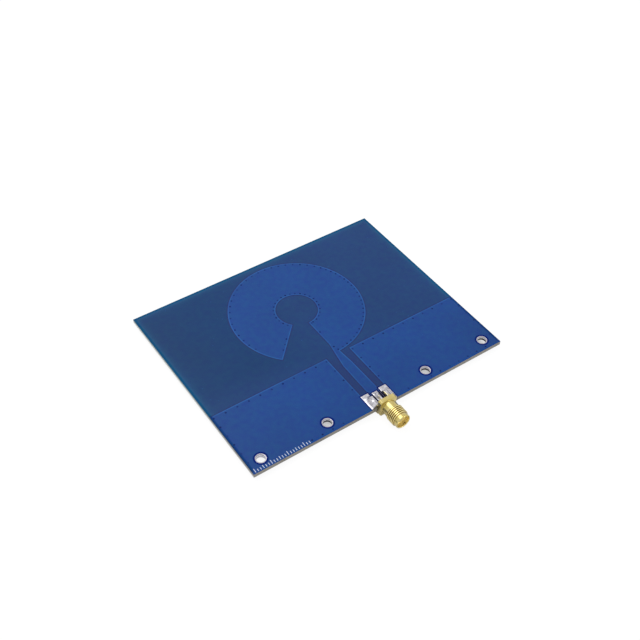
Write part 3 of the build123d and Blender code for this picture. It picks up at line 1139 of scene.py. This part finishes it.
def makeDimples(name, places, level, outward, look):
    bm = bmesh.new()
    for place in places:
        marks = (
            (0, -outward * look["sink"]),
            (look["radius"], -outward * look["sink"]),
            (look["crest"], outward * look["rise"]),
            (0, outward * look["sink"]),
        )
        turnMarks(bm, marks, Vector((place.x, place.y, level)), look["steps"])
    newPiece(name, bm, viaMaterial)


viaNodes = ("radiator_vias", "left_ground_vias", "right_ground_vias")
viaPlaces = [place for node in viaNodes for place in plugPlaces(node)]
makeDimples("topViaDimples", viaPlaces, boardTop, 1, viaLook)
makeDimples("undersideViaDimples", viaPlaces, boardUnder, -1, viaLook)
print("via dimples made:", len(viaPlaces))


# Solder: a wetted film over each pad that climbs the leg or the pin

solderFilm = {
    "thickness": 0.05,
    "least": 0.012,
    "rimWidth": 0.14,
    "rimShare": 0.3,
    "lumpShare": 0.15,
    "lumpLevel": 0.3,
    "fineLump": 2.3,
    "fineShare": 0.35,
}
groundJoint = {
    "tip": 0.1,
    "dropReach": 1.5,
    "cells": (28, 56),
}
leftJoint = {
    "height": 1.22,
    "ledge": 0.25,
    "run": 1.9,
    "hollow": 1.5,
    "innerDrop": 0.6,
    "innerRun": 0.7,
    "lump": 0.24,
    "lumpSize": 1.1,
}
rightJoint = {
    "height": 1.02,
    "ledge": 0.04,
    "run": 0.9,
    "hollow": 3.2,
    "innerDrop": 0.0,
    "innerRun": 0.3,
    "lump": 0.06,
    "lumpSize": 1.4,
}
pinJoint = {
    "height": 0.8,
    "ledge": 0.25,
    "run": 0.9,
    "hollow": 1.6,
    "lump": 0.08,
    "lumpSize": 1.8,
    "start": -2.8,
    "startFade": 0.45,
    "cells": (24, 56),
}


def fall(share, power):
    return (1 - min(1.0, max(0.0, share))) ** power


def closeBelow(bm, level):
    rim = [edge for edge in bm.edges if edge.is_boundary]
    skirt = bmesh.ops.extrude_edge_only(bm, edges=rim)
    fresh = [item for item in skirt["geom"] if isinstance(item, bmesh.types.BMVert)]
    for vert in fresh:
        vert.co.z = level
    bmesh.ops.contextual_create(bm, geom=[edge for edge in bm.edges if edge.is_boundary])


def padGrid(node, cells):
    low, high = boxOf(node)
    bm = bmesh.new()
    size = Vector((high.x - low.x, high.y - low.y, 1))
    spot = Matrix.LocRotScale((low + high) / 2, None, size)
    bmesh.ops.create_grid(bm, x_segments=cells[0], y_segments=cells[1], size=0.5, matrix=spot)
    return bm, low, high


def lumps(x, y, look):
    spot = Vector((x, y, solderFilm["lumpLevel"])) * look["lumpSize"]
    fine = noise.noise(spot * solderFilm["fineLump"]) * solderFilm["fineShare"]
    return (noise.noise(spot) + fine) * look["lump"]


def solderLevel(x, y, toRim, climb, look):
    film = solderFilm["thickness"] * min(1.0, solderFilm["rimShare"] + toRim / solderFilm["rimWidth"])
    height = film + climb * look["height"] + lumps(x, y, look) * (solderFilm["lumpShare"] + climb)
    return foilTop + max(solderFilm["least"], height)


def makeGroundSolder(name, node, look, underside=False):
    bm, low, high = padGrid(node, groundJoint["cells"])
    outerEdge = max(abs(low.x), abs(high.x))
    innerEdge = min(abs(low.x), abs(high.x))
    ledge = bodyHigh.x + look["ledge"]
    for vert in bm.verts:
        across = abs(vert.co.x)
        y = vert.co.y
        climb = fall((across - ledge) / (outerEdge - ledge), look["hollow"])
        climb *= fall((y - groundJoint["tip"]) / look["run"], 2.0)
        drop = fall((across - innerEdge) / look["innerRun"], 2.0)
        drop *= fall((y - boardLow.y) / groundJoint["dropReach"], 1.0)
        climb *= 1 - look["innerDrop"] * drop
        toRim = min(outerEdge - across, high.y - y, y - low.y, across - innerEdge)
        vert.co.z = solderLevel(vert.co.x, y, toRim, climb, look)
    closeBelow(bm, foilTop)
    if underside:
        bmesh.ops.scale(bm, vec=(1, 1, -1), verts=bm.verts)
        bmesh.ops.translate(bm, verts=bm.verts, vec=(0, 0, foilTop + foilUnder))
    newPiece(name, bm, solderMaterial, [node], crease=50)


def makePinSolder(name, node, look):
    bm, low, high = padGrid(node, look["cells"])
    pinEnd = contactHigh.y
    for vert in bm.verts:
        across = abs(vert.co.x)
        y = vert.co.y
        climb = fall((across - look["ledge"]) / (high.x - look["ledge"]), look["hollow"])
        climb *= fall((y - pinEnd) / look["run"], 2.0) * fall((look["start"] - y) / look["startFade"], 1.5)
        toRim = min(high.x - across, high.y - y)
        vert.co.z = solderLevel(vert.co.x, y, toRim, climb, look)
    closeBelow(bm, foilTop)
    newPiece(name, bm, solderMaterial, [node], crease=50)


makeGroundSolder("leftTopSolder", "left_top_solder", leftJoint)
makeGroundSolder("rightTopSolder", "right_top_solder", rightJoint)
makeGroundSolder("leftUndersideSolder", "left_underside_solder", rightJoint, underside=True)
makeGroundSolder("rightUndersideSolder", "right_underside_solder", rightJoint, underside=True)
makePinSolder("pinSolder", "signal_solder", pinJoint)
print("solder made")


# Printed scale: plain white marks along the left of the front edge

scaleLook = {
    "start": -49.0,
    "pitch": 1.0,
    "count": 21,
    "base": -3.65,
    "heights": (1.5, 0.95, 0.95, 1.2, 0.95, 0.95),
    "stroke": 0.24,
    "ink": 0.012,
}


def makeScale(look):
    bm = bmesh.new()
    for index in range(look["count"]):
        tall = look["heights"][index % len(look["heights"])]
        spot = Matrix.LocRotScale(
            Vector((look["start"] + index * look["pitch"], look["base"] + tall / 2, boardTop)),
            None, Vector((look["stroke"], tall, 1)))
        bmesh.ops.create_grid(bm, x_segments=1, y_segments=2, size=0.5, matrix=spot)
    raised = bmesh.ops.extrude_face_region(bm, geom=list(bm.faces))
    fresh = [item for item in raised["geom"] if isinstance(item, bmesh.types.BMVert)]
    bmesh.ops.translate(bm, verts=fresh, vec=(0, 0, look["ink"]))
    newPiece("printedScale", bm, inkMaterial)


makeScale(scaleLook)
print("printed scale made")


# Carried-over solids take their finishes

finishes = {
    "laminate": glassMaterial,
    "top_solder_mask": maskTopMaterial,
    "underside_solder_mask": maskUnderMaterial,
    "connector_body": jackMaterial,
    "connector_insulator": insulatorMaterial,
    "centre_contact": contactMaterial,
}
for name in nodes:
    if name.endswith(("_foil", "_vias")):
        finishes[name] = foilMaterial
    elif name.endswith("_plating"):
        finishes[name] = tinMaterial
    elif name.endswith("_solder"):
        finishes[name] = solderMaterial
for name, material in finishes.items():
    mesh = nodes[name].data
    mesh.materials.clear()
    mesh.materials.append(material)
print("finishes given to", len(finishes), "nodes")


# Studio: white floor and world, and two soft lamps

studioLook = {
    "ambient": 0.685,
    "floorColour": (0.96, 0.96, 0.96, 1),
    "floorGlow": 1.06,
    "seenShare": 0.85,
    # painted shade: less glow on the floor under the board
    "underShare": 0.45,
    "underStart": -40.0,
    "underFull": -30.0,
    "underInset": 2.0,
    "underFade": 2.0,
    "glossyShare": 0.2,
    "keyPlace": (-0.105, 0.339, 0.504),
    "keySize": 0.45,
    "keyPower": 1.1,
    "fillPlace": (0.45, -0.5, 0.45),
    "fillSize": 0.35,
    "fillPower": 0.85,
    "floorSize": 6.0,
}


def stageSheet(name, spot, material):
    bm = bmesh.new()
    bmesh.ops.create_grid(bm, x_segments=1, y_segments=1, size=0.5, matrix=spot)
    sheet = placeMesh(name, bm, material)


def addLamp(name, place, size, power, aim):
    data = bpy.data.lights.new(name, "AREA")
    data.shape = "DISK"
    data.size = size
    data.energy = power
    lamp = bpy.data.objects.new(name, data)
    bpy.context.scene.collection.objects.link(lamp)
    lamp.location = place
    lamp.rotation_mode = "QUATERNION"
    lamp.rotation_quaternion = (aim - lamp.location).to_track_quat("-Z", "Y")


def makeWorld(ambient):
    world = bpy.data.worlds.new("studioWorld")
    world.use_nodes = True
    tree = world.node_tree
    tree.nodes.clear()
    rays = tree.nodes.new("ShaderNodeLightPath")
    kinds = ("Is Camera Ray", "Is Glossy Ray", "Is Transmission Ray")
    seen = most(tree, *(rays.outputs[kind] for kind in kinds))
    shown = []
    for strength in (ambient, 1.0):
        white = tree.nodes.new("ShaderNodeBackground")
        white.inputs["Color"].default_value = (1, 1, 1, 1)
        white.inputs["Strength"].default_value = strength
        shown.append(white.outputs[0])
    output = tree.nodes.new("ShaderNodeOutputWorld")
    tree.links.new(mixShaders(tree, seen, *shown), output.inputs["Surface"])
    bpy.context.scene.world = world


def shadeUnderBoard(tree, look):
    # Painted shade: the floor's glow is lower well under the board, where only the holes show the floor, but
    # not at its left end
    x, y, _ = coordinates(tree, millimetres(tree))
    past = most(
        tree,
        minus(tree, calc(tree, "ABSOLUTE", x), boardHigh.x),
        minus(tree, boardLow.y, y),
        minus(tree, y, boardHigh.y),
    )
    inset = look["underInset"]
    return least(tree, remap(tree, past, -inset - look["underFade"], -inset, 1.0, 0.0),
                 remap(tree, x, look["underStart"], look["underFull"]))


def floorMaterial(look):
    material, tree, shader = startMaterial("floorWhite")
    shader.inputs["Base Color"].default_value = look["floorColour"]
    shader.inputs["Roughness"].default_value = 0.9
    shader.inputs["Specular IOR Level"].default_value = 0.0
    rays = tree.nodes.new("ShaderNodeLightPath")
    seen = most(tree, rays.outputs["Is Camera Ray"], rays.outputs["Is Transmission Ray"])
    seenShare = remap(tree, shadeUnderBoard(tree, look), 0.0, 1.0, look["seenShare"], look["underShare"])
    share = most(tree, times(tree, seen, seenShare),
                 times(tree, rays.outputs["Is Glossy Ray"], look["glossyShare"]))
    glow = tree.nodes.new("ShaderNodeEmission")
    glow.inputs["Strength"].default_value = look["floorGlow"]
    mixed = mixShaders(tree, share, shader.outputs[0], glow.outputs[0])
    tree.links.new(mixed, tree.nodes["Material Output"].inputs["Surface"])
    return material


def makeStudio(look):
    makeWorld(look["ambient"])
    size = Vector((look["floorSize"], look["floorSize"], 1))
    spot = Matrix.LocRotScale(Vector((0, 0, cadLow.z)), None, size)
    stageSheet("studioFloor", spot, floorMaterial(look))
    middle = (cadLow + cadHigh) / 2
    addLamp("keyLamp", look["keyPlace"], look["keySize"], look["keyPower"], middle)
    addLamp("fillLamp", look["fillPlace"], look["fillSize"], look["fillPower"], middle)
    bpy.context.scene.view_settings.view_transform = "Standard"


makeStudio(studioLook)
print("studio made")
